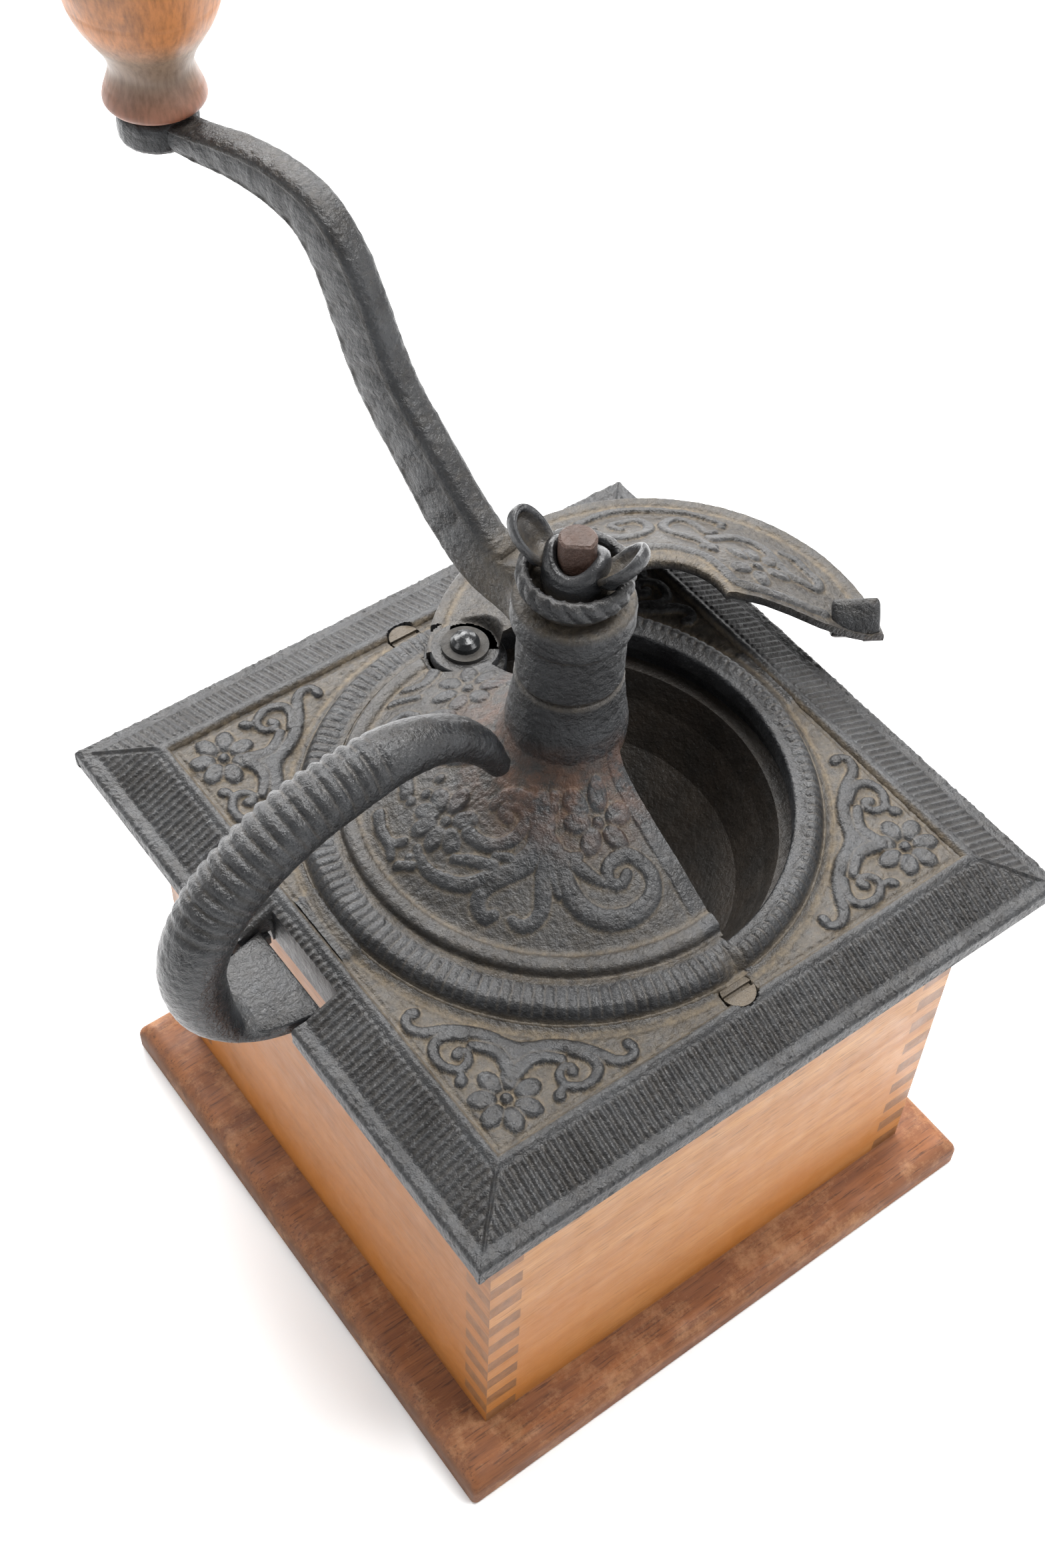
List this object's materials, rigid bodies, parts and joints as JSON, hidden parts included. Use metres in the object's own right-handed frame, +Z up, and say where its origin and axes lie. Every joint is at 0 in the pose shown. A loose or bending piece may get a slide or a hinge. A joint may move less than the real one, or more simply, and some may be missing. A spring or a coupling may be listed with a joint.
{
  "type": "box coffee mill",
  "caption": "Hand-cranked box coffee mill: ornate cast-iron top with open hopper, swinging half lid, crank, grind adjuster, carrying handle and finger-jointed wooden box with drawer.",
  "frame": {"origin": "centre of the base board's underside, on the axis of the grinding shaft", "axes": "+Z up along the shaft, -X towards the carrying handle, +Y towards the drawer front"},
  "size_m": [0.2036, 0.2154, 0.3279],
  "materials": {
    "base_wood": "dark reddish brown, worn edges",
    "box_wood": "honey brown, satin",
    "drawer_wood": "bare, unfinished",
    "drawer_front_wood": "honey brown, satin",
    "knob_wood": "worn reddish brown varnish",
    "pull_wood": "worn reddish brown varnish",
    "plate_iron": "satin black, dusty recesses",
    "handle_iron": "satin black, polished by hands",
    "lid_iron": "satin black, tan dust in the relief",
    "crank_iron": "satin black",
    "bowl_iron": "dark brown-black, smooth",
    "collar_iron": "semi-gloss, worn rim",
    "wing_iron": "semi-gloss, worn bright edges",
    "shaft_steel": "brown rust",
    "rivet_steel": "glossy black",
    "screw_steel": "dirty grey-brown",
    "burr_iron": "machined, dull grey",
    "bridge_iron": "rough black"
  },
  "bodies": {
    "mill": {"base_board": "base_wood", "board_front": "box_wood", "board_back": "box_wood", "board_left": "box_wood", "board_right": "box_wood", "base_screws": "screw_steel", "top_plate": "plate_iron", "plate_screws": "screw_steel", "carrying_handle": "handle_iron", "handle_screws": "screw_steel", "lid_rivet": "rivet_steel", "lid_washer": "screw_steel", "hopper_bowl": "bowl_iron", "bowl_screws": "screw_steel", "outer_burr": "burr_iron", "bridge": "bridge_iron", "bridge_screws": "screw_steel"},
    "crank": {"crank_arm": "crank_iron", "knob_pin": "screw_steel", "knob_washer": "screw_steel"},
    "crank_grip": {"crank_knob": "knob_wood"},
    "spindle": {"shaft": "shaft_steel", "inner_burr": "burr_iron", "burr_pin": "screw_steel"},
    "collar": {"adjusting_collar": "collar_iron"},
    "lock_nut": {"wing_nut": "wing_iron"},
    "lid": {"hopper_lid": "lid_iron"},
    "drawer": {"drawer_front": "drawer_front_wood", "drawer_side_left": "drawer_wood", "drawer_side_right": "drawer_wood", "drawer_back": "drawer_wood", "drawer_bottom": "drawer_wood", "drawer_knob": "pull_wood", "drawer_knob_screw": "screw_steel"}
  },
  "joints": [
    {"name": "crank_turn", "type": "hinge", "parent": "mill", "child": "crank", "pos_m": [0, 0, 0.2], "axis": [0, 0, 1], "continuous": true},
    {"name": "knob_spin", "type": "hinge", "parent": "crank", "child": "crank_grip", "pos_m": [-0.0242, 0.11386, 0.29], "axis": [0, 0, 1], "continuous": true},
    {"name": "collar_turn", "type": "hinge", "parent": "crank", "child": "collar", "pos_m": [0, 0, 0.21], "axis": [0, 0, 1], "range_deg": [-240, 0]},
    {"name": "shaft_lift", "type": "slide", "parent": "crank", "child": "spindle", "axis": [0, 0, 1], "range_m": [0, 0.00098]},
    {"name": "wing_nut_turn", "type": "hinge", "parent": "spindle", "child": "lock_nut", "pos_m": [0, 0, 0.212], "axis": [0, 0, 1], "range_deg": [0, 90]},
    {"name": "lid_swing", "type": "hinge", "parent": "mill", "child": "lid", "pos_m": [0.006, 0.0465, 0.1425], "axis": [0, 0, 1], "range_deg": [-58, 30]},
    {"name": "drawer_slide", "type": "slide", "parent": "mill", "child": "drawer", "axis": [0, 1, 0], "range_m": [0, 0.1]}
  ],
  "couplings": [
    {"joint": "collar_turn", "follows": "shaft_lift", "rad_per_m": -4188.8}
  ]
}
